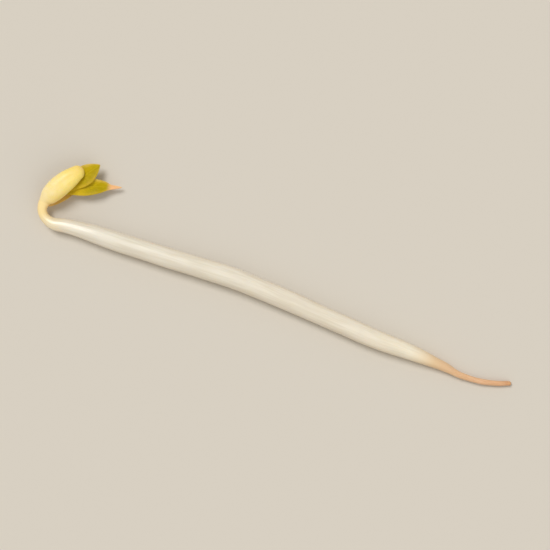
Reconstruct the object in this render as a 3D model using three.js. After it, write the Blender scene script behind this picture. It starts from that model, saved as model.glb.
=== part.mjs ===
// A bean sprout, freshly picked, lying on its side. Millimetres, +Z up, and it lies on the plane z = 0.
// The stem runs along +X from the hooked head to the root. The neck bends back over the stem, and from
// its end grow two half beans (cotyledons), with a short shoot and two folded first leaves between them.
// Every piece is a closed round-ended body whose unit section is swept along a route and shaped there.
import * as THREE from "three";

// Driving dimensions. Lengths along a piece follow from its route.
const stemThickness = 3.5;
const neckThickness = 1.56;
const collarThickness = 1.7; // where the stem passes into the root
const rootThickness = 0.95;
const cotyledonWidth = 3.6;
const cotyledonThickness = 1.4; // from the rim of the inner face to the crown of the back
const cotyledonHollow = 0.22; // how far the inner face dips
const leafWidth = 3.2;
const leafThickness = 0.3;
const shootThickness = 0.62;
const splitTilt = 12; // degrees that the plane between the half beans leans towards the stem

// Every route is given from the heel of the hook, which lies here in the part's frame.
const hookHeel = [-39.621, -5.554, 0.004];

const upward = new THREE.Vector3(0, 0, 1);
const capRings = 5;

// A smooth value along a piece, from [share of its length, value] pairs.
function eased(pairs) {
  const shares = pairs.map(([share]) => share);
  const values = pairs.map(([, value]) => value);
  const curve = new THREE.CubicInterpolant(shares, values, 1, new Float64Array(1));
  return (share) => curve.evaluate(share)[0];
}

function route(points) {
  const places = points.map((point) => new THREE.Vector3(...point));
  return new THREE.CatmullRomCurve3(places, false, "centripetal");
}

// The unit outline of a body: its half width, 1 along the middle, domed in over each end's cap.
// Over 1, crowding draws the rings towards the start of the path, where it bends most.
function unitOutline(length, startCap, endCap, rings, crowding) {
  const outline = [];
  for (let i = 0; i < capRings; i += 1) {
    const angle = (i / capRings) * (Math.PI / 2);
    outline.push(new THREE.Vector2(Math.sin(angle), (startCap * (1 - Math.cos(angle))) / length));
  }
  const middle = length - startCap - endCap;
  for (let i = 0; i <= rings; i += 1) {
    outline.push(new THREE.Vector2(1, (startCap + middle * (i / rings) ** crowding) / length));
  }
  for (let i = capRings - 1; i >= 0; i -= 1) {
    const angle = (i / capRings) * (Math.PI / 2);
    outline.push(new THREE.Vector2(Math.sin(angle), 1 - (endCap * (1 - Math.cos(angle))) / length));
  }
  return outline;
}

// A body along a path. section(share, across, lift) turns a point of the unit section into millimetres
// across the path and away from it, and roll(share) turns the section about the path, in degrees.
function grownBody({ path, rings, crowding = 1, sides, startCap, endCap, section, roll = () => 0 }) {
  const outline = unitOutline(path.getLength(), startCap, endCap, rings, crowding);
  const geometry = new THREE.LatheGeometry(outline, sides);
  const position = geometry.getAttribute("position");
  for (let i = 0; i < position.count; i += 1) {
    const share = THREE.MathUtils.clamp(position.getY(i), 0, 1);
    const tangent = path.getTangentAt(share);
    const side = new THREE.Vector3().crossVectors(tangent, upward).normalize();
    side.applyAxisAngle(tangent, THREE.MathUtils.degToRad(-roll(share)));
    const away = new THREE.Vector3().crossVectors(side, tangent);
    const [across, lift] = section(share, position.getX(i), position.getZ(i));
    const place = path.getPointAt(share).addScaledVector(side, across).addScaledVector(away, lift);
    position.setXYZ(i, place.x, place.y, place.z);
  }
  geometry.computeVertexNormals();
  return geometry;
}

function roundSection(radius) {
  return (share, x, z) => [x * radius(share), z * radius(share)];
}

// A half bean's section: a crowned back, and an inner face that dips a little along its middle.
function cotyledonSection(halfWidth, thickness) {
  return (share, x, z) => {
    const across = x * halfWidth(share);
    const dip = cotyledonHollow * z * z;
    return [across, z > 0 ? z * thickness(share) : dip];
  };
}

// A leaf's section: thin, thickest at the midrib, with its two halves folded up from the midrib.
function leafSection(halfWidth, fold) {
  return (share, x, z) => {
    const across = x * halfWidth(share);
    const blade = Math.abs(across) * Math.tan(THREE.MathUtils.degToRad(fold(share)));
    const thickness = Math.min(leafThickness, 0.8 * halfWidth(share));
    return [across, blade + (z * thickness) / 2];
  };
}

// The stem arches a little, so the sprout rests on it near the head and near the root, and on a half bean.
function stem() {
  const path = route([
    [-2.5, 3.75, 1.88],
    [-2.55, 3.2, 1.85],
    [-2.42, 2.45, 1.78],
    [-1.95, 1.72, 1.7],
    [-1.2, 1.2, 1.65],
    [0.2, 0.86, 1.62],
    [2, 1.17, 1.59],
    [6, 1.44, 1.584],
    [12, 1.46, 1.628],
    [20, 1.6, 1.745],
    [32, 1.97, 1.87],
    [40, 1.5, 1.86],
    [52, 0.42, 1.715],
    [59, -0.15, 1.594],
    [65, -0.3, 1.46],
    [70.5, -0.75, 1.0],
  ]);
  const radius = eased([
    [0, (1.1 * neckThickness) / 2],
    [0.018, neckThickness / 2],
    [0.04, neckThickness / 2],
    [0.055, (1.24 * neckThickness) / 2],
    [0.075, (0.67 * stemThickness) / 2],
    [0.11, (0.77 * stemThickness) / 2],
    [0.16, (0.89 * stemThickness) / 2],
    [0.27, (0.94 * stemThickness) / 2],
    [0.45, stemThickness / 2],
    [0.76, (0.95 * stemThickness) / 2],
    [0.88, (0.87 * stemThickness) / 2],
    [0.95, (0.67 * stemThickness) / 2],
    [1, collarThickness / 2],
  ]);
  return grownBody({
    path,
    rings: 60,
    crowding: 1.6,
    sides: 16,
    startCap: 0.3,
    endCap: 0.08,
    section: roundSection(radius),
  });
}

// The root narrows soon after the collar and keeps its thickness to a blunt end.
function root() {
  const path = route([
    [70.85, -0.8, 0.97],
    [74, -1.25, 0.82],
    [77.5, -1.15, 0.68],
    [80.5, -0.5, 0.57],
    [82.6, 0.2, 0.5],
  ]);
  const radius = eased([
    [0, collarThickness / 2],
    [0.14, (1.4 * rootThickness) / 2],
    [0.32, (1.1 * rootThickness) / 2],
    [0.7, rootThickness / 2],
    [1, (0.8 * rootThickness) / 2],
  ]);
  return grownBody({ path, rings: 20, sides: 10, startCap: 0.08, endCap: 0.35, section: roundSection(radius) });
}

// Both half beans are widest in the middle and end bluntly.
function cotyledon(points, roll, size) {
  const halfWidth = eased([
    [0, (0.6 * size * cotyledonWidth) / 2],
    [0.14, (0.81 * size * cotyledonWidth) / 2],
    [0.33, (0.98 * size * cotyledonWidth) / 2],
    [0.53, (0.98 * size * cotyledonWidth) / 2],
    [0.73, (0.85 * size * cotyledonWidth) / 2],
    [1, (0.56 * size * cotyledonWidth) / 2],
  ]);
  const thickness = eased([
    [0, 0.6 * cotyledonThickness],
    [0.35, cotyledonThickness],
    [0.75, 0.85 * cotyledonThickness],
    [1, 0.5 * cotyledonThickness],
  ]);
  const section = cotyledonSection(halfWidth, thickness);
  return grownBody({ path: route(points), rings: 16, sides: 20, startCap: 0.5, endCap: 0.8, section, roll });
}

function outerCotyledon() {
  const points = [
    [-2.4, 4.1, 2.25],
    [-1.93, 5.1, 2.42],
    [-1.1, 6.62, 2.56],
    [-0.2, 8.1, 2.64],
    [0.7, 9.4, 2.68],
    [1.4, 10.4, 2.69],
    [2.05, 11.3, 2.66],
  ];
  return cotyledon(points, () => splitTilt, 1);
}

function innerCotyledon() {
  const points = [
    [-2.1, 4.05, 1.5],
    [-1.45, 5.0, 1.45],
    [-0.6, 6.3, 1.43],
    [0.4, 7.6, 1.42],
    [1.5, 8.85, 1.42],
    [2.5, 10.0, 1.42],
  ];
  return cotyledon(points, () => splitTilt + 180, 0.93);
}

function shoot() {
  const path = route([
    [-2.1, 4.15, 1.88],
    [-1.75, 4.9, 1.9],
    [-1.2, 5.75, 1.92],
  ]);
  const radius = eased([
    [0, shootThickness / 2],
    [1, (0.85 * shootThickness) / 2],
  ]);
  return grownBody({ path, rings: 6, sides: 8, startCap: 0.1, endCap: 0.1, section: roundSection(radius) });
}

// A folded first leaf: a narrow foot, a broad blade and a drawn-out point. Its lean is how much of the
// tilt between the half beans it keeps.
function firstLeaf(points, breadth, fold, lean) {
  const halfWidth = eased(breadth.map(([share, part]) => [share, (part * leafWidth) / 2]));
  const section = leafSection(halfWidth, eased(fold));
  const kept = eased(lean);
  const roll = (share) => splitTilt * kept(share);
  return grownBody({ path: route(points), rings: 26, sides: 12, startCap: 0.15, endCap: 0.3, section, roll });
}

// The lower leaf narrows to a thread.
function sideLeaf() {
  const points = [
    [-0.75, 6.0, 1.88],
    [0.4, 6.85, 1.93],
    [1.6, 7.6, 1.96],
    [3.1, 8.4, 1.93],
    [4.8, 9.08, 1.75],
    [6.25, 9.62, 1.5],
    [7.2, 9.82, 1.35],
    [8.4, 10.2, 1.2],
    [9.1, 10.42, 1.12],
  ];
  const breadth = [
    [0, 0.16],
    [0.12, 0.38],
    [0.29, 0.75],
    [0.43, 0.94],
    [0.57, 0.89],
    [0.67, 0.74],
    [0.74, 0.58],
    [0.79, 0.41],
    [0.835, 0.28],
    [0.88, 0.21],
    [0.92, 0.17],
    [0.96, 0.12],
    [1, 0.08],
  ];
  const fold = [
    [0, 6],
    [0.35, 8],
    [0.5, 11],
    [0.7, 17],
    [1, 8],
  ];
  const lean = [
    [0, 1],
    [1, 0],
  ];
  return firstLeaf(points, breadth, fold, lean);
}

// The upper leaf passes close beneath the outer half bean, so it is flatter and levels out early.
function tipLeaf() {
  const points = [
    [-0.65, 6.45, 2.2],
    [0.6, 7.5, 2.3],
    [1.5, 8.7, 2.35],
    [2.38, 9.9, 2.34],
    [3.2, 11.1, 2.2],
    [4.45, 12.85, 2.06],
  ];
  const breadth = [
    [0, 0.16],
    [0.15, 0.36],
    [0.35, 0.75],
    [0.55, 1.04],
    [0.67, 1.06],
    [0.78, 0.89],
    [0.87, 0.62],
    [0.94, 0.34],
    [1, 0.12],
  ];
  const fold = [
    [0, 6],
    [0.45, 7],
    [0.7, 11],
    [1, 8],
  ];
  const lean = [
    [0, 1],
    [0.35, 0.67],
    [0.6, 0.25],
    [1, 0],
  ];
  return firstLeaf(points, breadth, fold, lean);
}

function mesh(name, geometry, color, roughness) {
  const material = new THREE.MeshStandardMaterial({ color, roughness, metalness: 0 });
  const piece = new THREE.Mesh(geometry, material);
  piece.name = name;
  return piece;
}

const plant = new THREE.Group();
plant.add(
  mesh("stem", stem(), 0xeee6d4, 0.35),
  mesh("root", root(), 0xdcb48a, 0.5),
  mesh("cotyledon_outer", outerCotyledon(), 0xf2dc84, 0.45),
  mesh("cotyledon_inner", innerCotyledon(), 0xe6ca6c, 0.45),
  mesh("shoot", shoot(), 0xe2d488, 0.45),
  mesh("first_leaf_side", sideLeaf(), 0xb49c22, 0.5),
  mesh("first_leaf_tip", tipLeaf(), 0xbca628, 0.5),
);
plant.position.set(...hookHeel);

const sprout = new THREE.Group();
sprout.add(plant);

export default sprout;
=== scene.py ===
import math
import bmesh
import bpy
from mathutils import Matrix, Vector, kdtree, noise


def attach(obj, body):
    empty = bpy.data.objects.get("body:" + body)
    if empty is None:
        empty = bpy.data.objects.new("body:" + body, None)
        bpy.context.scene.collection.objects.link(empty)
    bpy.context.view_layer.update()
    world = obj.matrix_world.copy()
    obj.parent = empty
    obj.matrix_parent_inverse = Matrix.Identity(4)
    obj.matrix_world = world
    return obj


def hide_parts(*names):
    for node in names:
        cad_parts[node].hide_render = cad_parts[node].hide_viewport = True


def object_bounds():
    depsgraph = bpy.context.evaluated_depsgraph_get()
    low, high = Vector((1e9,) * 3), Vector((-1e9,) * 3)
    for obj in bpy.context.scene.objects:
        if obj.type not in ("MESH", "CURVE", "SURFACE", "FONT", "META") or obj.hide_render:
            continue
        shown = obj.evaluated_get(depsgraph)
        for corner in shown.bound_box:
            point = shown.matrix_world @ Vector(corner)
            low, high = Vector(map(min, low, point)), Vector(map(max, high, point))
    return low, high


# A bean sprout lying on its side on a pale table, seen from straight above.
# Pieces are modelled in millimetres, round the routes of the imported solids, then brought to metres.
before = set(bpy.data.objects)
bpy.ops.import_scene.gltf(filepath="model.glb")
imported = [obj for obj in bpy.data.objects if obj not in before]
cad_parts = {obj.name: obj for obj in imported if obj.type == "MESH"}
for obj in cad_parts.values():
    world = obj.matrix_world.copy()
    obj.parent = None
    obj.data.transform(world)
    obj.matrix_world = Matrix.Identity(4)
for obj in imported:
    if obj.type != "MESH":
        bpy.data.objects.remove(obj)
cadLow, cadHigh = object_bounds()
metre = 1000
mm = 1 / metre
# the heel of the hook, which every route is measured from
hookHeel = cadLow * metre + Vector((3.378, 1.776, 0.004))
print("frame loaded")


# smooth routes and smooth values along them

def catmullPoint(p0, p1, p2, p3, t):
    gap0, gap1, gap2 = ((b - a).length ** 0.5 for a, b in ((p0, p1), (p1, p2), (p2, p3)))
    leave = ((p1 - p0) / gap0 - (p2 - p0) / (gap0 + gap1) + (p2 - p1) / gap1) * gap1
    arrive = ((p2 - p1) / gap1 - (p3 - p1) / (gap1 + gap2) + (p3 - p2) / gap2) * gap1
    bend = 3 * (p2 - p1) - 2 * leave - arrive
    twist = 2 * (p1 - p2) + leave + arrive
    return p1 + leave * t + bend * t * t + twist * t ** 3


# close samples of a route: places, and the length run up to each
def sampleRoute(points, perSpan=60):
    places = [Vector(point) + hookHeel for point in points]
    padded = [2 * places[0] - places[1]] + places + [2 * places[-1] - places[-2]]
    fine = [catmullPoint(*padded[i:i + 4], step / perSpan)
            for i in range(len(places) - 1) for step in range(perSpan)]
    fine.append(places[-1])
    run = [0]
    for before, now in zip(fine, fine[1:]):
        run.append(run[-1] + (now - before).length)
    return fine, run


# the place at a share of the route's length, and the route's heading there
def spotAt(fine, run, share):
    wanted = min(max(share, 0), 1) * run[-1]
    after = next((i for i, length in enumerate(run) if length >= wanted and i > 0), len(run) - 1)
    part = (wanted - run[after - 1]) / (run[after] - run[after - 1])
    direction = fine[min(after + 1, len(fine) - 1)] - fine[max(after - 2, 0)]
    return fine[after - 1].lerp(fine[after], part), math.atan2(direction.y, direction.x)


# a smooth value along a piece, from (share of its length, value) pairs
def eased(pairs):
    def slope(i):
        low, high = max(i - 1, 0), min(i + 1, len(pairs) - 1)
        return (pairs[high][1] - pairs[low][1]) / (pairs[high][0] - pairs[low][0])

    def value(share):
        share = min(max(share, pairs[0][0]), pairs[-1][0])
        i = max(k for k in range(len(pairs) - 1) if pairs[k][0] <= share)
        (x0, y0), (x1, y1) = pairs[i], pairs[i + 1]
        width = x1 - x0
        t = (share - x0) / width
        start = (2 * t ** 3 - 3 * t * t + 1) * y0 + (t ** 3 - 2 * t * t + t) * width * slope(i)
        end = (3 * t * t - 2 * t ** 3) * y1 + (t ** 3 - t * t) * width * slope(i + 1)
        return start + end
    return value


# 0 up to low, 1 from high on, and smooth between
def ramped(value, low, high):
    t = min(max((value - low) / (high - low), 0), 1)
    return t * t * (3 - 2 * t)


# rises from 0 to 1 over the first pair of values, and falls back over the second
def midway(value, start, end):
    return ramped(value, *start) * (1 - ramped(value, *end))


# smooth unevenness round 0, up to about gain either way
def waver(x, y, z, gain):
    return gain * noise.noise(Vector((x, y, z)))


# modelling helpers

capRings = 5  # rings that close each round end


# (share, dome) of each ring: the dome closes the piece over its round ends
def ringShares(look, length):
    startCap, endCap, rings = look["startCap"], look["endCap"], look["rings"]
    middle = length - startCap - endCap
    angles = [(step + 0.5) / capRings * math.pi / 2 for step in range(capRings)]
    shares = [(startCap * (1 - math.cos(angle)) / length, math.sin(angle)) for angle in angles]
    for i in range(rings + 1):
        run = startCap + middle * (i / rings) ** look.get("crowding", 1)
        shares.append((run / length, 1))
    shares += [(1 - endCap * (1 - math.cos(angle)) / length, math.sin(angle))
               for angle in reversed(angles)]
    return shares


def deselectAll():
    if bpy.context.object and bpy.context.object.mode != "OBJECT":
        bpy.ops.object.mode_set(mode="OBJECT")
    bpy.ops.object.select_all(action="DESELECT")


def selectVerts(piece, wanted):
    mesh = bmesh.from_edit_mesh(piece.data)
    for vert in mesh.verts:
        vert.select_set(wanted(vert))
    mesh.select_flush(True)
    bmesh.update_edit_mesh(piece.data)


def applyModifier(piece, kind, **settings):
    bpy.ops.object.modifier_add(type=kind)
    modifier = piece.modifiers[-1]
    for name, value in settings.items():
        setattr(modifier, name, value)
    bpy.ops.object.modifier_apply(modifier=modifier.name)


def refine(piece, levels):
    applyModifier(piece, "SUBSURF", levels=levels, render_levels=levels)


# a body extruded ring by ring along its route, as it grew
def growBody(name, look):
    fine, run = sampleRoute(look["route"])
    width, height = eased(look["halfWidth"]), eased(look.get("halfHeight", look["halfWidth"]))
    shrink = 1 - (1 - math.cos(2 * math.pi / look["sides"])) / 3  # what smoothing takes off a ring
    # place, heading, half width and half height of each ring
    spots = [(*spotAt(fine, run, share), width(share) * dome / shrink, height(share) * dome / shrink)
             for share, dome in ringShares(look, run[-1])]
    place, heading, wide, high = spots[0]
    roll = look.get("roll", 0)
    deselectAll()
    turned = (math.pi / 2, math.radians(roll), heading + math.pi / 2)
    bpy.ops.mesh.primitive_circle_add(vertices=look["sides"], radius=1, fill_type="NGON",
                                      location=place, rotation=turned)
    piece = bpy.context.object
    piece.name = piece.data.name = name
    bpy.ops.object.transform_apply(location=True, rotation=True, scale=True)
    bpy.ops.object.mode_set(mode="EDIT")
    if "innerFace" in look:  # the half below the route is pressed in to a shallow arch
        up = -1 if abs(roll) > 90 else 1
        clear = -0.01  # leaves out the points that lie level with the route
        selectVerts(piece, lambda vert: (vert.co.z - place.z) * up < clear)
        bpy.ops.transform.resize(value=(1, 1, look["innerFace"]), center_override=place)
        bpy.ops.mesh.select_all(action="SELECT")
    bpy.ops.transform.resize(value=(wide, wide, high), center_override=place)
    for last, (place, heading, wide, high) in zip(spots, spots[1:]):
        bpy.ops.mesh.extrude_region_move(TRANSFORM_OT_translate={"value": place - last[0]})
        bpy.ops.transform.rotate(value=last[1] - heading, orient_axis="Z", center_override=place)
        wider, higher = wide / last[2], high / last[3]
        bpy.ops.transform.resize(value=(wider, wider, higher), center_override=place)
    bpy.ops.mesh.select_all(action="SELECT")
    bpy.ops.mesh.normals_make_consistent(inside=False)
    bpy.ops.object.mode_set(mode="OBJECT")
    refine(piece, look["levels"])
    layGrain(piece, fine, run)
    return piece


# each point's place on the piece: millimetres along, then which way round as a cosine and a sine
def layGrain(piece, fine, run):
    tree = kdtree.KDTree(len(fine))
    for i, place in enumerate(fine):
        tree.insert(place, i)
    tree.balance()
    smallest = 0.02  # keeps the poles from a division by nothing
    grain = piece.data.attributes.new("grain", "FLOAT_VECTOR", "POINT")
    for vert, mark in zip(piece.data.vertices, grain.data):
        i = tree.find(vert.co)[1]
        direction = (fine[min(i + 1, len(fine) - 1)] - fine[max(i - 1, 0)]).normalized()
        side = direction.cross(Vector((0, 0, 1))).normalized()
        offset = vert.co - fine[i]
        across, lift = offset.dot(side), offset.dot(side.cross(direction))
        size = max(math.hypot(across, lift), smallest)
        mark.vector = (run[i] + offset.dot(direction), across / size, lift / size)


# moves the surface out by depth millimetres where weightAt gives 1, and in where it gives -1
def relieve(piece, depth, weightAt, attribute="grain"):
    weights = [weightAt(mark.vector) for mark in piece.data.attributes[attribute].data]
    for way in (1, -1):
        group = piece.vertex_groups.new(name="relief")
        for i, weight in enumerate(weights):
            group.add([i], min(max(way * weight, 0), 1), "REPLACE")
        applyModifier(piece, "DISPLACE", strength=way * depth, mid_level=0, vertex_group="relief")
        piece.vertex_groups.remove(piece.vertex_groups["relief"])


# smooth dents or furrows: "length" is about that of one in millimetres, "turns" is how close they
# lie round the piece, and they come in over the pair "start" and die away over the pair "end"
def dent(piece, look):
    length, turns, shift = look["length"], look["turns"], look["shift"]
    relieve(piece, look["depth"], lambda g: midway(g.x, look["start"], look["end"])
            * waver(g.x / length, g.y * turns, g.z * turns + shift, look["gain"]))


# brings a piece to metres, gives it its material, hides the imported part of the node it stands for,
# hangs it on the root body and prints that node's name
def finishPiece(piece, material, node):
    deselectAll()
    piece.select_set(True)
    bpy.context.view_layer.objects.active = piece
    piece.scale = (mm, mm, mm)
    bpy.ops.object.transform_apply(location=True, rotation=True, scale=True)
    bpy.ops.object.shade_smooth()
    piece.data.materials.append(material)
    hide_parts(node)
    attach(piece, "root")
    print(node, "finished,", len(piece.data.polygons), "faces")


# material helpers

# a colour given as a paint shop gives it, 0 to 255
def tint(colour):
    def linear(part):
        part /= 255
        return part / 12.92 if part <= 0.04045 else ((part + 0.055) / 1.055) ** 2.4
    return (*(linear(part) for part in colour), 1)


# gives a socket a value of its own, or joins it to another node's output
def feed(tree, socket, value):
    if isinstance(value, bpy.types.NodeSocket):
        tree.links.new(value, socket)
    else:
        socket.default_value = value


def addNode(tree, kind, inputs=(), **settings):
    node = tree.nodes.new("ShaderNode" + kind)
    for name, value in settings.items():
        setattr(node, name, value)
    for name, value in dict(inputs).items():
        feed(tree, node.inputs[name], value)
    return node


def newMaterial(name):
    material = bpy.data.materials.new(name)
    material.use_nodes = True
    return material, material.node_tree, material.node_tree.nodes["Principled BSDF"]


# the grain, then its parts: share of the length, and which way round as a cosine and a sine
def readGrain(tree, length):
    grain = addNode(tree, "Attribute", attribute_name="grain").outputs["Vector"]
    along, side, lift = addNode(tree, "SeparateXYZ", {"Vector": grain}).outputs
    return grain, calculate(tree, "DIVIDE", along, length), side, lift


# noise with its own stretch along the piece and round it
def grainNoise(tree, vector, stretch, scale, detail=2, distortion=0):
    place = addNode(tree, "Mapping", {"Vector": vector, "Scale": stretch}).outputs[0]
    inputs = {"Vector": place, "Scale": scale, "Detail": detail, "Distortion": distortion}
    return addNode(tree, "TexNoise", inputs).outputs["Fac"]


# noise that is the same every way, in metres
def placeNoise(tree, scale, detail):
    place = addNode(tree, "TexCoord").outputs["Object"]
    inputs = {"Vector": place, "Scale": scale, "Detail": detail}
    return addNode(tree, "TexNoise", inputs).outputs["Fac"]


def rampOf(tree, value, stops):
    stops = [(position, tint(colour)) for position, colour in stops]
    ramp = addNode(tree, "ValToRGB", {"Fac": value})
    band = ramp.color_ramp
    band.elements[0].position, band.elements[0].color = stops[0]
    band.elements[1].position, band.elements[1].color = stops[-1]
    for position, colour in stops[1:-1]:
        band.elements.new(position).color = colour
    return ramp.outputs["Color"]


def mixColour(tree, share, first, second, how="MIX"):
    mix = addNode(tree, "Mix", data_type="RGBA", blend_type=how)
    for socket, value in ((mix.inputs[0], share), (mix.inputs[6], first), (mix.inputs[7], second)):
        feed(tree, socket, value)
    return mix.outputs[2]


# goes smoothly from outLow to outHigh as the value goes from low to high
def reach(tree, value, low, high, outLow=0, outHigh=1):
    span = {"From Min": low, "From Max": high, "To Min": outLow, "To Max": outHigh}
    node = addNode(tree, "MapRange", {"Value": value, **span}, interpolation_type="SMOOTHSTEP")
    return node.outputs[0]


# in a material: rises from 0 to 1 over the first pair of values, and falls back over the second
def between(tree, value, start, end):
    return multiply(tree, reach(tree, value, *start), reach(tree, value, *end, 1, 0))


def calculate(tree, operation, first, second=0):
    node = addNode(tree, "Math", operation=operation)
    for socket, value in zip(node.inputs, (first, second)):
        feed(tree, socket, value)
    return node.outputs[0]


def multiply(tree, first, second):
    return calculate(tree, "MULTIPLY", first, second)


def bumpFrom(tree, shader, height, distance, strength):
    inputs = {"Height": height, "Distance": distance * mm, "Strength": strength}
    tree.links.new(addNode(tree, "Bump", inputs).outputs[0], shader.inputs["Normal"])


def makeWaxy(shader, share, roughness):
    shader.inputs["Coat Weight"].default_value = share
    shader.inputs["Coat Roughness"].default_value = roughness


# flesh that lets light in a little: depth is how far, in millimetres, for red, green and blue
def makeFleshy(shader, share, depth):
    shader.inputs["Subsurface Weight"].default_value = share
    shader.inputs["Subsurface Radius"].default_value = depth
    shader.inputs["Subsurface Scale"].default_value = mm
    shader.inputs["IOR"].default_value = 1.4


# In each look the route is in millimetres from the heel of the hook, and "length" is about how long
# the piece is. Widths, colours and the pairs that a colour comes in or goes over are by the share of
# that length, but a dent, a shoulder or a ridge starts and ends in millimetres along it. "waxy" is
# the coat's share and roughness, "fleshy" is the share of light that goes in and how deep, and
# "bump" is a height in millimetres and a strength. A noise is its stretch along and round the
# piece, its scale, its detail and any distortion, or a scale and a detail alone.

# stem

stemLook = {
    "route": [(-1.9, 4.75, 1.95), (-2.5, 3.75, 1.88), (-2.55, 3.2, 1.85), (-2.42, 2.45, 1.78),
              (-1.95, 1.72, 1.7), (-1.2, 1.2, 1.65), (0.2, 0.86, 1.62), (2, 1.17, 1.59),
              (6, 1.44, 1.584), (12, 1.46, 1.628), (20, 1.6, 1.745), (32, 1.97, 1.87),
              (40, 1.5, 1.86), (52, 0.42, 1.715), (59, -0.15, 1.594), (65, -0.3, 1.46),
              (70.5, -0.75, 1.0)],
    "halfWidth": [(0, 0.3), (0.003, 0.56), (0.006, 0.78), (0.0095, 0.93), (0.0143, 0.97),
                  (0.021, 0.9), (0.03, 0.81), (0.052, 0.8), (0.067, 0.97), (0.087, 1.17),
                  (0.122, 1.35), (0.172, 1.56), (0.28, 1.65), (0.455, 1.75), (0.76, 1.66),
                  (0.88, 1.52), (0.95, 1.17), (0.975, 0.97), (0.99, 0.885), (1, 0.82)],
    "halfHeight": [(0, 0.3), (0.003, 0.56), (0.006, 0.76), (0.0095, 0.91), (0.0143, 0.91),
                   (0.021, 0.84), (0.03, 0.8), (0.052, 0.8), (0.067, 0.97), (0.087, 1.17),
                   (0.122, 1.35), (0.172, 1.56), (0.28, 1.65), (0.455, 1.72), (0.76, 1.66),
                   (0.88, 1.52), (0.95, 1.17), (0.975, 0.97), (0.99, 0.885), (1, 0.82)],
    "sides": 20, "rings": 90, "crowding": 1.5, "startCap": 0.25, "endCap": 0.3, "levels": 2,
    "dents": {"depth": 0.06, "gain": 1.6, "length": 7, "turns": 0.7, "shift": 0,
              "start": (2, 6), "end": (68, 74)},
    "furrows": {"depth": 0.03, "gain": 1.8, "length": 30, "turns": 2.2, "shift": 9,
                "start": (3, 8), "end": (70, 74)},
    "length": 76,
    # painted shade: the flank colours on the stem's sides are a little darker and warmer than the
    # crown colours on its top and underside, so the sides read as shaded from above
    "crown": [(0, (255, 228, 160)), (0.04, (255, 228, 162)), (0.065, (248, 233, 198)),
              (0.1, (239, 231, 213)), (0.16, (235, 229, 214)), (0.5, (235, 228, 212)),
              (0.8, (237, 229, 212)), (0.92, (245, 236, 214)), (0.95, (239, 221, 190)),
              (0.98, (228, 197, 155)), (1, (226, 190, 148))],
    "shadedFlank": [(0, (255, 220, 150)), (0.045, (253, 223, 162)), (0.075, (244, 228, 196)),
              (0.11, (237, 225, 204)), (0.2, (232, 222, 203)), (0.8, (231, 219, 198)),
              (0.92, (236, 222, 197)), (0.95, (233, 212, 177)), (0.98, (227, 194, 152)),
              (1, (226, 190, 148))],
    "fibres": ((0.04, 1, 1), 4.5, 1), "clouds": ((0.12, 1, 1), 1.4, 2),
    "streak": (236, 232, 223), "streakShare": 0.55, "streaked": ((0.025, 0.07), (0.88, 0.98)),
    "blotch": (226, 217, 201), "blotchShare": 0.35, "blotchedFrom": (0.05, 0.14),
    "roughness": (0.28, 0.4), "waxy": (0.25, 0.18), "bump": (0.03, 0.35),
    "fleshy": (0.5, (1.1, 1, 0.8)), "lit": ((0.04, 0.09), (0.86, 0.97)),
}


def stemMaterial():
    material, tree, shader = newMaterial("stemFlesh")
    grain, along, _, lift = readGrain(tree, stemLook["length"])
    # painted shade: the sides take the darker, warmer flank colour and the top and underside the
    # crown colour
    crown, shadedFlank = rampOf(tree, along, stemLook["crown"]), rampOf(tree, along, stemLook["shadedFlank"])
    base = mixColour(tree, reach(tree, calculate(tree, "ABSOLUTE", lift), 0.3, 1), shadedFlank, crown)
    fibres = grainNoise(tree, grain, *stemLook["fibres"])
    clouds = grainNoise(tree, grain, *stemLook["clouds"])
    middle = between(tree, along, *stemLook["streaked"])
    white = multiply(tree, reach(tree, along, *stemLook["blotchedFrom"]), middle)
    streaks = multiply(tree, reach(tree, fibres, 0.3, 0.7, 0, stemLook["streakShare"]), middle)
    blotches = multiply(tree, reach(tree, clouds, 0.42, 0.7, 0, stemLook["blotchShare"]), white)
    colour = mixColour(tree, streaks, base, tint(stemLook["streak"]), "MULTIPLY")
    colour = mixColour(tree, blotches, colour, tint(stemLook["blotch"]))
    tree.links.new(colour, shader.inputs["Base Color"])
    roughness = reach(tree, clouds, 0.3, 0.7, *stemLook["roughness"])
    tree.links.new(roughness, shader.inputs["Roughness"])
    makeWaxy(shader, *stemLook["waxy"])
    makeFleshy(shader, *stemLook["fleshy"])
    # light goes in less near the half beans and the root, or the joints show as dark lines
    inward = multiply(tree, between(tree, along, *stemLook["lit"]), stemLook["fleshy"][0])
    tree.links.new(inward, shader.inputs["Subsurface Weight"])
    bumpFrom(tree, shader, multiply(tree, fibres, middle), *stemLook["bump"])
    return material


def makeStem():
    piece = growBody("stem_flesh", stemLook)
    dent(piece, stemLook["dents"])
    dent(piece, stemLook["furrows"])
    finishPiece(piece, stemMaterial(), "stem")


# root

rootLook = {
    "route": [(68.6, -0.57, 1.17), (69.6, -0.65, 1.07), (70.85, -0.8, 0.97), (74, -1.25, 0.82),
              (77.5, -1.15, 0.68), (80.5, -0.5, 0.57), (82.6, 0.2, 0.5)],
    "halfWidth": [(0, 0.6), (0.05, 0.83), (0.09, 0.868), (0.14, 0.84), (0.19, 0.77), (0.27, 0.64),
                  (0.42, 0.52), (0.72, 0.475), (1, 0.38)],
    "sides": 16, "rings": 40, "startCap": 0.1, "endCap": 0.35, "levels": 2,
    "wrinkles": {"depth": 0.04, "gain": 1.8, "length": 2.5, "turns": 1.4, "shift": 0,
                 "start": (1.8, 3.4), "end": (13.4, 14.2)},
    "length": 14.5,
    "skin": [(0, (226, 190, 148)), (0.15, (226, 189, 147)), (0.6, (228, 184, 144)),
             (0.85, (222, 174, 132)), (1, (200, 148, 100))],
    "fibres": ((0.2, 1, 1), 3, 3), "streak": (204, 156, 110), "streakShare": 0.4,
    "thin": (0.12, 0.35),
    "roughness": 0.4, "waxy": (0.25, 0.2), "bump": (0.04, 0.6), "fleshy": (0.4, (1, 0.85, 0.6)),
}


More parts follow.
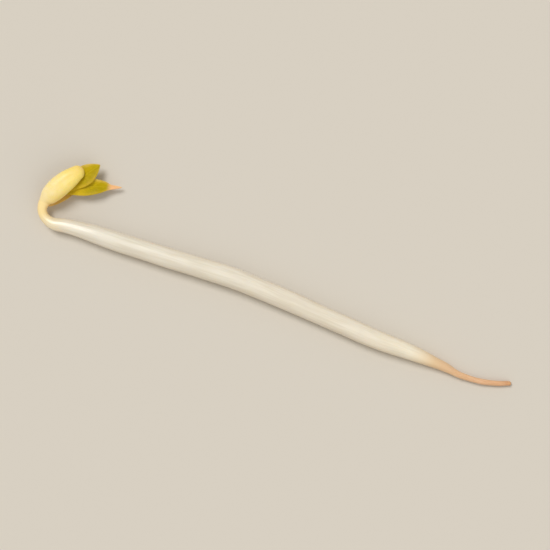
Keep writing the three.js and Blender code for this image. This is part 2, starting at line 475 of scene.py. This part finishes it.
def rootMaterial():
    material, tree, shader = newMaterial("rootSkin")
    grain, along, _, _ = readGrain(tree, rootLook["length"])
    base = rampOf(tree, along, rootLook["skin"])
    fibres = grainNoise(tree, grain, *rootLook["fibres"])
    thin = reach(tree, along, *rootLook["thin"])
    streaks = multiply(tree, reach(tree, fibres, 0.35, 0.7, 0, rootLook["streakShare"]), thin)
    colour = mixColour(tree, streaks, base, tint(rootLook["streak"]))
    tree.links.new(colour, shader.inputs["Base Color"])
    shader.inputs["Roughness"].default_value = rootLook["roughness"]
    makeWaxy(shader, *rootLook["waxy"])
    makeFleshy(shader, *rootLook["fleshy"])
    tree.links.new(multiply(tree, thin, rootLook["fleshy"][0]), shader.inputs["Subsurface Weight"])
    bumpFrom(tree, shader, multiply(tree, fibres, thin), *rootLook["bump"])
    return material


def makeRoot():
    piece = growBody("root_skin", rootLook)
    dent(piece, rootLook["wrinkles"])
    finishPiece(piece, rootMaterial(), "root")


# half beans

outerLook = {
    "route": [(-2.54, 3.0, 1.92), (-2.5, 3.75, 2.1), (-2.4, 4.1, 2.22), (-1.93, 5.1, 2.42),
              (-1.1, 6.62, 2.56), (-0.2, 8.1, 2.64), (0.7, 9.4, 2.68), (1.4, 10.4, 2.69),
              (2.05, 11.3, 2.66)],
    "halfWidth": [(0, 0.5), (0.078, 0.86), (0.12, 1.04), (0.23, 1.54), (0.41, 1.8), (0.59, 1.78),
                  (0.76, 1.55), (0.88, 1.27), (1, 0.98)],
    "halfHeight": [(0, 0.4), (0.078, 0.64), (0.12, 0.76), (0.23, 1.12), (0.41, 1.37), (0.75, 1.2),
                   (1, 0.72)],
    "roll": 12, "innerFace": -0.16,
    "sides": 24, "rings": 30, "startCap": 0.3, "endCap": 0.85, "levels": 2,
    "shoulders": {"depth": 0.1, "start": (1.6, 3.6), "end": (7, 9.2)},
    "ridge": {"depth": 0.1, "facing": (0.8, 0.6), "start": (4, 7), "end": (8.2, 9.5)},
    "dents": {"depth": 0.05, "gain": 1.6, "length": 2.6, "turns": 1, "shift": 0,
              "start": (1, 3), "end": (8, 9.4)},
    # painted light and shade: the crown colours over the top and left side are paler, and the flank
    # colours on the side turned from the sun are yellower and warmer, standing in for its shade and
    # warm bounced light
    "crown": [(0, (255, 228, 160)), (0.2, (255, 232, 174)), (0.45, (255, 231, 166)),
              (0.7, (252, 225, 132)), (1, (252, 214, 114))],
    "shadedFlank": [(0, (255, 226, 158)), (0.3, (250, 219, 130)), (0.7, (255, 230, 120)),
              (0.9, (255, 230, 116)), (1, (252, 216, 108))],
    "mottle": (252, 224, 118), "faceSide": -1,
}
innerLook = {
    "route": [(-2.4, 3.3, 1.75), (-2.35, 3.7, 1.62), (-2.1, 4.05, 1.5), (-1.45, 5.0, 1.45),
              (-0.6, 6.3, 1.43), (0.4, 7.6, 1.42), (1.5, 8.85, 1.42), (2.5, 10.0, 1.42)],
    "halfWidth": [(0, 0.45), (0.1, 0.95), (0.24, 1.38), (0.42, 1.66), (0.62, 1.62), (0.82, 1.33),
                  (1, 0.92)],
    "halfHeight": [(0, 0.4), (0.1, 0.75), (0.3, 1.2), (0.5, 1.36), (0.8, 1.15), (1, 0.7)],
    "roll": 192, "innerFace": -0.16,
    "sides": 24, "rings": 26, "startCap": 0.3, "endCap": 0.85, "levels": 2,
    "dents": {"depth": 0.05, "gain": 1.6, "length": 2.6, "turns": 1, "shift": 5,
              "start": (-2, -1), "end": (7, 8.4)},  # from its very start
    # painted shade: the inner half bean is a darker, more ochre copy of the outer one's colours,
    # standing in for the shade it lies in beneath the outer one
    "crown": [(0, (250, 220, 150)), (0.3, (246, 212, 120)), (1, (228, 184, 72))],
    "shadedFlank": [(0, (246, 212, 140)), (0.3, (232, 192, 96)), (1, (220, 176, 70))],
    "mottle": (236, 190, 78), "faceSide": 1,
}
halfBeanLook = {  # what both share
    "length": 9.8, "face": (255, 242, 176), "grownFrom": (0.06, 0.28),
    "blurs": (900, 3), "mottleShare": 0.5,
    "pits": (3500, 2), "freckle": (226, 206, 108), "freckleShare": 0.24,
    "creases": ((0.35, 1, 1), 4, 3, 0.6), "creasedTo": (0.8, 0.96),
    "roughness": (0.36, 0.5), "waxy": (0.1, 0.25), "bump": (0.03, 0.5),
    "fleshy": (0.25, (0.9, 0.7, 0.3)), "litFrom": (0.12, 0.35),
}


def cotyledonMaterial(name, look):
    material, tree, shader = newMaterial(name)
    grain, along, side, lift = readGrain(tree, halfBeanLook["length"])
    crown, shadedFlank = rampOf(tree, along, look["crown"]), rampOf(tree, along, look["shadedFlank"])
    # painted light and shade: the side turned from the sun takes the flank colour, the rest the paler
    # crown colour
    base = mixColour(tree, reach(tree, side, 0.1, 1, 0, 0.9), crown, shadedFlank)
    blurs, pits = placeNoise(tree, *halfBeanLook["blurs"]), placeNoise(tree, *halfBeanLook["pits"])
    creases = grainNoise(tree, grain, *halfBeanLook["creases"])
    grown = reach(tree, along, *halfBeanLook["grownFrom"])  # plain where it passes into the neck
    mottled = multiply(tree, reach(tree, blurs, 0.35, 0.75, 0, halfBeanLook["mottleShare"]), grown)
    freckled = multiply(tree, reach(tree, pits, 0.56, 0.72, 0, halfBeanLook["freckleShare"]), grown)
    colour = mixColour(tree, mottled, base, tint(look["mottle"]))
    colour = mixColour(tree, freckled, colour, tint(halfBeanLook["freckle"]))
    inside = reach(tree, multiply(tree, lift, look["faceSide"]), 0.1, 0.4)
    colour = mixColour(tree, inside, colour, tint(halfBeanLook["face"]))
    tree.links.new(colour, shader.inputs["Base Color"])
    roughness = reach(tree, blurs, 0.3, 0.7, *halfBeanLook["roughness"])
    tree.links.new(roughness, shader.inputs["Roughness"])
    makeWaxy(shader, *halfBeanLook["waxy"])
    makeFleshy(shader, *halfBeanLook["fleshy"])
    inward = reach(tree, along, *halfBeanLook["litFrom"], 0, halfBeanLook["fleshy"][0])
    tree.links.new(inward, shader.inputs["Subsurface Weight"])
    # the round end and the inner face are smoother
    creased = multiply(tree, reach(tree, along, *halfBeanLook["creasedTo"], 1.6, 0),
                       reach(tree, inside, 0, 1, 1, 0.2))
    uneven = calculate(tree, "ADD", multiply(tree, creases, creased), pits)
    bumpFrom(tree, shader, multiply(tree, uneven, grown), *halfBeanLook["bump"])
    return material


def makeCotyledons():
    piece = growBody("cotyledon_outer_flesh", outerLook)
    shoulders, ridge = outerLook["shoulders"], outerLook["ridge"]
    # a squarer section, out at its four corners and in between them, and an edge along the back
    relieve(piece, shoulders["depth"],
            lambda g: (2 * abs(g.y * g.z) - 0.5) * midway(g.x, shoulders["start"], shoulders["end"]))
    side, lift = ridge["facing"]
    relieve(piece, ridge["depth"], lambda g: ramped(side * g.y + lift * g.z, 0.8, 1)
            * midway(g.x, ridge["start"], ridge["end"]))
    dent(piece, outerLook["dents"])
    material = cotyledonMaterial("cotyledonOuter", outerLook)
    finishPiece(piece, material, "cotyledon_outer")
    piece = growBody("cotyledon_inner_flesh", innerLook)
    dent(piece, innerLook["dents"])
    material = cotyledonMaterial("cotyledonInner", innerLook)
    finishPiece(piece, material, "cotyledon_inner")


# shoot

shootLook = {
    "route": [(-2.1, 4.15, 1.88), (-1.75, 4.9, 1.9), (-1.2, 5.75, 1.92), (-0.8, 6.15, 1.94)],
    "halfWidth": [(0, 0.36), (0.4, 0.3), (0.7, 0.25), (0.9, 0.17), (1, 0.08)],
    "sides": 12, "rings": 14, "startCap": 0.1, "endCap": 0.1, "levels": 2,
    "fibres": ((0.3, 1, 1), 3, 2), "pale": (232, 214, 140), "deep": (206, 186, 100),
    "roughness": 0.45, "bump": (0.02, 0.5), "fleshy": (0.3, (0.8, 0.6, 0.2)),
}


def shootMaterial():
    material, tree, shader = newMaterial("shootFlesh")
    grain = addNode(tree, "Attribute", attribute_name="grain").outputs["Vector"]
    fibres = grainNoise(tree, grain, *shootLook["fibres"])
    colour = mixColour(tree, fibres, tint(shootLook["pale"]), tint(shootLook["deep"]))
    tree.links.new(colour, shader.inputs["Base Color"])
    shader.inputs["Roughness"].default_value = shootLook["roughness"]
    makeFleshy(shader, *shootLook["fleshy"])
    bumpFrom(tree, shader, fibres, *shootLook["bump"])
    return material


def makeShoot():
    finishPiece(growBody("shoot_flesh", shootLook), shootMaterial(), "shoot")


# first leaves

# "fold" and "roll" are in degrees, and "tail" is where the blade turns into its thread
sideLook = {
    "route": [(-0.9, 5.9, 1.88), (0.4, 6.85, 1.93), (1.6, 7.6, 1.96), (3.1, 8.4, 1.93),
              (4.8, 9.08, 1.75), (6.25, 9.62, 1.5), (7.2, 9.82, 1.35), (8.4, 10.2, 1.2),
              (9.1, 10.42, 1.12)],
    "halfWidth": [(0, 0.26), (0.12, 0.6), (0.29, 1.2), (0.43, 1.5), (0.57, 1.42), (0.67, 1.18),
                  (0.74, 0.93), (0.79, 0.66), (0.835, 0.45), (0.88, 0.34), (0.92, 0.27),
                  (0.96, 0.18), (0.985, 0.09), (1, 0.015)],
    "fold": [(0, 6), (0.35, 8), (0.5, 11), (0.7, 17), (1, 8)],
    "roll": [(0, 12), (1, 0)],
    "tail": (0.75, 0.85),
}
tipLook = {
    "route": [(-0.75, 6.3, 2.1), (0.6, 7.5, 2.3), (1.5, 8.7, 2.35), (2.38, 9.9, 2.34),
              (3.2, 11.1, 2.2), (4.45, 12.85, 2.06)],
    "halfWidth": [(0, 0.26), (0.15, 0.58), (0.35, 1.2), (0.55, 1.66), (0.67, 1.7), (0.78, 1.42),
                  (0.87, 1.0), (0.94, 0.55), (0.975, 0.28), (0.99, 0.15), (1, 0.04)],
    "fold": [(0, 6), (0.45, 7), (0.7, 11), (1, 8)],
    "roll": [(0, 12), (0.35, 8), (0.6, 3), (1, 0)],
    "tail": (0.95, 1.1),
}
# what both share: a hinge is its column from the midrib and its part of the fold, and veins and
# puckers come in over the pair "from", as the half width grows
leafLook = {
    "columns": 20, "rows": 60, "hinges": ((0, 0.6), (4, 0.8)),
    "thickness": 0.24, "edgeShare": 0.25, "slimBelow": 0.16,
    "veins": {"count": 9, "slant": 0.16, "width": 0.075, "height": 0.7, "midribWidth": 0.05,
              "depth": 0.022, "from": (0.5, 1.2)},
    "puckers": {"depth": 0.05, "gain": 1.6, "across": 1.5, "along": 9, "shift": 3,
                "from": (0.4, 1)},
    "across": [(0, (220, 186, 92)), (0.03, (210, 178, 64)), (0.12, (200, 172, 20)),
               (0.4, (188, 162, 0)), (0.9, (178, 154, 0)), (1, (198, 166, 44))],
    "patches": (1100, 3), "patch": (170, 152, 0), "patchShare": 0.5,
    # painted light: the blade is lighter and yellower towards its foot, to make up for the half
    # bean's shadow on it
    "footLight": (222, 188, 36), "footLightShare": 0.7, "footLightTo": (0.25, 0.6),
    "vein": (212, 190, 46), "veinShare": 0.35, "thread": (244, 190, 138),
    "roughness": 0.5, "gloss": 0.14, "bump": (0.03, 0.5), "fleshy": (0.2, (0.5, 0.5, 0.1)),
}


# how near a leaf point is to the midrib or a side vein, 0 to 1: u runs across from -1 to 1, v along
def veinAt(u, v):
    veins, out = leafLook["veins"], abs(u)
    midrib = math.exp(-(out / veins["midribWidth"]) ** 2)
    turn = (v - veins["slant"] * out ** 0.8) * veins["count"]
    sideVein = math.exp(-((turn - round(turn)) / veins["width"]) ** 2)
    return max(midrib, veins["height"] * sideVein * (1 - out ** 4))


def growLeaf(name, look):
    fine, run = sampleRoute(look["route"])
    width, fold, roll = eased(look["halfWidth"]), eased(look["fold"]), eased(look["roll"])
    columns, rows = leafLook["columns"], leafLook["rows"]
    deselectAll()
    bpy.ops.mesh.primitive_grid_add(x_subdivisions=columns, y_subdivisions=rows, size=2)
    piece = bpy.context.object
    piece.name = piece.data.name = name
    bpy.ops.object.mode_set(mode="EDIT")
    rowOf = {v.index: round((v.co.y + 1) / 2 * rows) for v in piece.data.vertices}
    sideOf = {v.index: round(v.co.x * columns / 2) for v in piece.data.vertices}
    for row in range(rows + 1):
        share = row / rows
        place, heading = spotAt(fine, run, share)
        centre = Vector((0, 2 * share - 1, 0))
        selectVerts(piece, lambda vert: rowOf[vert.index] == row)
        bpy.ops.transform.resize(value=(width(share), 1, 1), center_override=centre)
        for side in (-1, 1):  # each half is folded up from the midrib, and again nearer the margin
            for start, part in leafLook["hinges"]:
                hinge = centre + Vector((side * width(share) * start / (columns / 2), 0, 0))
                turn = side * math.radians(fold(share) * part)
                selectVerts(piece, lambda vert: rowOf[vert.index] == row
                            and sideOf[vert.index] * side > start)
                bpy.ops.transform.rotate(value=turn, orient_axis="Y", center_override=hinge)
        selectVerts(piece, lambda vert: rowOf[vert.index] == row)
        for axis, turn in (("Y", -math.radians(roll(share))), ("Z", math.pi / 2 - heading)):
            bpy.ops.transform.rotate(value=turn, orient_axis=axis, center_override=centre)
        bpy.ops.transform.translate(value=place - centre)
    bpy.ops.mesh.select_all(action="SELECT")
    bpy.ops.mesh.normals_make_consistent(inside=False)
    bpy.ops.object.mode_set(mode="OBJECT")
    refine(piece, 1)
    layBlade(piece)
    veins, puckers = leafLook["veins"], leafLook["puckers"]
    relieve(piece, -veins["depth"],
            lambda g: (2 * g.z - 1) * ramped(width(g.y), *veins["from"]), "blade")
    across, along, shift = puckers["across"], puckers["along"], puckers["shift"]
    relieve(piece, puckers["depth"], lambda g: ramped(width(g.y), *puckers["from"])
            * waver(g.x * across, g.y * along, shift, puckers["gain"]), "blade")
    thin = piece.vertex_groups.new(name="thin")
    for vert, mark in zip(piece.data.vertices, piece.data.attributes["blade"].data):
        slim = min(width(mark.vector.y) / leafLook["slimBelow"], 1)
        thin.add([vert.index], (1 - abs(mark.vector.x) ** 3) * slim, "REPLACE")
    applyModifier(piece, "SOLIDIFY", thickness=leafLook["thickness"], offset=0, vertex_group="thin",
                  thickness_vertex_group=leafLook["edgeShare"])
    piece.vertex_groups.clear()
    refine(piece, 1)
    return piece


# each point's place on the blade: across from -1 to 1, along from 0 to 1, and nearness to a vein
def layBlade(piece):
    flat = piece.data.uv_layers.active.data
    blade = piece.data.attributes.new("blade", "FLOAT_VECTOR", "POINT")
    for loop in piece.data.loops:
        u, v = flat[loop.index].uv
        blade.data[loop.vertex_index].vector = (2 * u - 1, v, veinAt(2 * u - 1, v))


def leafMaterial(name, look):
    material, tree, shader = newMaterial(name)
    blade = addNode(tree, "Attribute", attribute_name="blade").outputs["Vector"]
    across, along, vein = addNode(tree, "SeparateXYZ", {"Vector": blade}).outputs
    patches = placeNoise(tree, *leafLook["patches"])
    base = rampOf(tree, reach(tree, across, -1, 1), leafLook["across"])
    # the foot mix is painted light, lighter where the half bean shades the blade
    for share, colour in (
            (reach(tree, patches, 0.35, 0.7, 0, leafLook["patchShare"]), "patch"),
            (reach(tree, along, *leafLook["footLightTo"], leafLook["footLightShare"], 0), "footLight"),
            (reach(tree, vein, 0.1, 1, 0, leafLook["veinShare"]), "vein"),
            (reach(tree, along, *look["tail"]), "thread")):
        base = mixColour(tree, share, base, tint(leafLook[colour]))
    tree.links.new(base, shader.inputs["Base Color"])
    shader.inputs["Roughness"].default_value = leafLook["roughness"]
    shader.inputs["Specular IOR Level"].default_value = leafLook["gloss"]
    makeFleshy(shader, *leafLook["fleshy"])
    bumpFrom(tree, shader, patches, *leafLook["bump"])
    return material


def makeLeaves():
    for node, look in (("first_leaf_side", sideLook), ("first_leaf_tip", tipLook)):
        piece = growLeaf(node + "_blade", look)
        finishPiece(piece, leafMaterial(node + "Blade", look), node)


# table, lamps and camera

# in millimetres: the camera looks straight down, and its centre goes by the sides of its own view
cameraLook = {"roll": 18.8, "lens": 85, "height": 222, "centre": (-1.32, -0.43), "clip": 10}
tableLook = {"radius": 3000, "sides": 96, "colour": (214, 207, 195)}
# a share is the part of a level sheet's light from there, and a heading goes by the camera's view
lightLook = {
    "sun": {"lean": 32, "heading": 128, "spread": 26, "share": 0.48, "colour": (1, 1, 1)},
    "glow": {"lean": 58, "heading": -45, "spread": 70, "share": 0.12, "colour": (1, 0.9, 0.72)},
    "room": 0.42,
}


def makeTable():
    deselectAll()
    bpy.ops.mesh.primitive_circle_add(vertices=tableLook["sides"], radius=tableLook["radius"] * mm,
                                      fill_type="NGON", location=(0, 0, cadLow.z))
    table = bpy.context.object
    table.name = "table"
    bpy.ops.object.transform_apply(location=True, rotation=True, scale=True)
    material, tree, shader = newMaterial("table")
    shader.inputs["Base Color"].default_value = tint(tableLook["colour"])
    shader.inputs["Roughness"].default_value = 1
    shader.inputs["Specular IOR Level"].default_value = 0
    table.data.materials.append(material)


def addSun(name, look):
    deselectAll()
    lean, heading = math.radians(look["lean"]), math.radians(look["heading"] + cameraLook["roll"])
    bpy.ops.object.light_add(type="SUN", location=(0, 0, 0.5),
                             rotation=(lean, 0, heading + math.pi / 2))
    sun = bpy.context.object
    sun.name = name
    sun.data.energy = look["share"] * math.pi / math.cos(lean)
    sun.data.angle = math.radians(look["spread"])
    sun.data.color = look["colour"]


# together the lights show a level sheet in about its own colour, and past the table's edge the world
# has the colour that the table is seen in
def makeLight():
    sun, glow, room = lightLook["sun"], lightLook["glow"], lightLook["room"]
    addSun("softSun", sun)
    addSun("warmGlow", glow)
    world = bpy.data.worlds.new("room")
    bpy.context.scene.world = world
    world.use_nodes = True
    tree = world.node_tree
    rays = addNode(tree, "LightPath").outputs
    seen = rays["Is Camera Ray"]
    for kind in ("Is Glossy Ray", "Is Transmission Ray"):
        seen = calculate(tree, "MAXIMUM", seen, rays[kind])
    own = tint(tableLook["colour"])
    horizon = [part * (sun["share"] * warm + glow["share"] * warmer + room)
               for part, warm, warmer in zip(own, sun["colour"], glow["colour"])]
    shown = mixColour(tree, seen, (room, room, room, 1), (*horizon, 1))
    tree.links.new(shown, tree.nodes["Background"].inputs["Color"])


def makeCamera():
    turn = math.radians(cameraLook["roll"])
    right, up = cameraLook["centre"]
    x = right * math.cos(turn) - up * math.sin(turn)
    y = right * math.sin(turn) + up * math.cos(turn)
    place = (x * mm, y * mm, cameraLook["height"] * mm)
    bpy.ops.object.camera_add(location=place, rotation=(0, 0, turn))
    camera = bpy.context.object
    camera.data.lens = cameraLook["lens"]
    camera.data.clip_start = cameraLook["clip"] * mm
    bpy.context.scene.camera = camera


bpy.context.scene.view_settings.view_transform = "Standard"
makeStem()
makeRoot()
makeCotyledons()
makeShoot()
makeLeaves()
makeTable()
makeLight()
makeCamera()
print("table, lamps and camera in place")
deselectAll()
print("scene finished")
